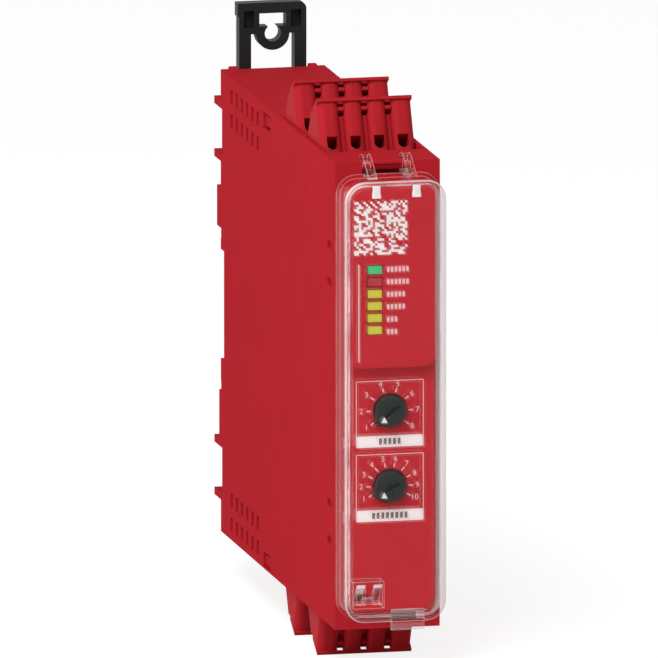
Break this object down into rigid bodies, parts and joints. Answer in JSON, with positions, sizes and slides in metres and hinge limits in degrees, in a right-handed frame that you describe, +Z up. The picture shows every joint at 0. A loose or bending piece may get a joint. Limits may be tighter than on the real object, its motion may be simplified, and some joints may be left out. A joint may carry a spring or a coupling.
{
  "type": "safety relay",
  "caption": "Slim rail-mounted safety relay module with plug-in spring terminal blocks, sliding lugs, rotary selectors, status lights and a hinged clear cover.",
  "frame": {"origin": "centre of the rail seat on the module's back plane", "axes": "+X across the module to its right side seen from the front, -Y out of the front, +Y into the rail, +Z up"},
  "size_m": [0.0226, 0.126, 0.1235],
  "materials": {
    "housing_red": "fine matt moulding",
    "panel_red": "printed matt moulding",
    "block_red": "satin moulding",
    "lug_black": "satin moulding",
    "clear_plastic": "clear and polished",
    "selector_dark": "satin moulding",
    "part_black": "matt",
    "board_green": "lacquered laminate",
    "chip_white": "matt",
    "relay_case": "satin case",
    "can_metal": "drawn can",
    "window_green": "tinted and clear",
    "window_red": "tinted and clear",
    "window_yellow": "tinted and clear",
    "contact_copper": "rolled strip",
    "spring_steel": "spring strip",
    "pin_metal": "plated"
  },
  "bodies": {
    "housing": {"housing_shell": "housing_red", "side_cover": "housing_red", "front_panel": "panel_red", "start_switch": "part_black", "function_switch": "part_black", "main_board": "board_green", "front_board": "board_green", "board_link": "part_black", "light_chips": "chip_white", "channel_relay_1": "relay_case", "channel_relay_2": "relay_case", "transformer": "part_black", "capacitor_1": "can_metal", "capacitor_2": "can_metal", "processor_1": "part_black", "processor_2": "part_black", "fuse": "relay_case", "light_window_1": "window_green", "light_window_2": "window_red", "light_window_3": "window_yellow", "light_window_4": "window_yellow", "light_window_5": "window_yellow", "light_window_6": "window_yellow", "header_top_front": "part_black", "header_pins_top_front": "pin_metal", "header_bottom_front": "part_black", "header_pins_bottom_front": "pin_metal", "header_top_rear": "part_black", "header_pins_top_rear": "pin_metal", "header_bottom_rear": "part_black", "header_pins_bottom_rear": "pin_metal"},
    "top_lug": {"top_lug": "lug_black"},
    "bottom_lug": {"bottom_lug": "lug_black"},
    "clear_cover": {"clear_cover": "clear_plastic"},
    "start_selector": {"start_selector": "selector_dark"},
    "function_selector": {"function_selector": "selector_dark"},
    "terminal_top_front": {"terminal_block_top_front": "block_red", "contacts_top_front": "contact_copper", "clamp_springs_top_front": "spring_steel"},
    "terminal_bottom_front": {"terminal_block_bottom_front": "block_red", "contacts_bottom_front": "contact_copper", "clamp_springs_bottom_front": "spring_steel"},
    "terminal_top_rear": {"terminal_block_top_rear": "block_red", "contacts_top_rear": "contact_copper", "clamp_springs_top_rear": "spring_steel"},
    "terminal_bottom_rear": {"terminal_block_bottom_rear": "block_red", "contacts_bottom_rear": "contact_copper", "clamp_springs_bottom_rear": "spring_steel"}
  },
  "joints": [
    {"name": "cover_hinge", "type": "hinge", "parent": "housing", "child": "clear_cover", "pos_m": [0, -0.1086, 0.05055], "axis": [-1, 0, 0], "range_deg": [0, 110]},
    {"name": "start_selector_turn", "type": "hinge", "parent": "housing", "child": "start_selector", "pos_m": [0, -0.113, -0.001], "axis": [0, 1, 0], "range_deg": [0, 252]},
    {"name": "function_selector_turn", "type": "hinge", "parent": "housing", "child": "function_selector", "pos_m": [0, -0.113, -0.0171], "axis": [0, 1, 0], "range_deg": [0, 231.4]},
    {"name": "top_lug_slide", "type": "slide", "parent": "housing", "child": "top_lug", "axis": [0, 0, 1], "range_m": [-0.0122, 0]},
    {"name": "bottom_lug_slide", "type": "slide", "parent": "housing", "child": "bottom_lug", "axis": [0, 0, -1], "range_m": [0, 0.0122]},
    {"name": "terminal_top_front_slide", "type": "slide", "parent": "housing", "child": "terminal_top_front", "axis": [0, -0.848, 0.5299], "range_m": [0, 0.008]},
    {"name": "terminal_bottom_front_slide", "type": "slide", "parent": "housing", "child": "terminal_bottom_front", "axis": [0, -0.848, -0.5299], "range_m": [0, 0.008]},
    {"name": "terminal_top_rear_slide", "type": "slide", "parent": "housing", "child": "terminal_top_rear", "axis": [0, -0.848, 0.5299], "range_m": [0, 0.008]},
    {"name": "terminal_bottom_rear_slide", "type": "slide", "parent": "housing", "child": "terminal_bottom_rear", "axis": [0, -0.848, -0.5299], "range_m": [0, 0.008]}
  ]
}
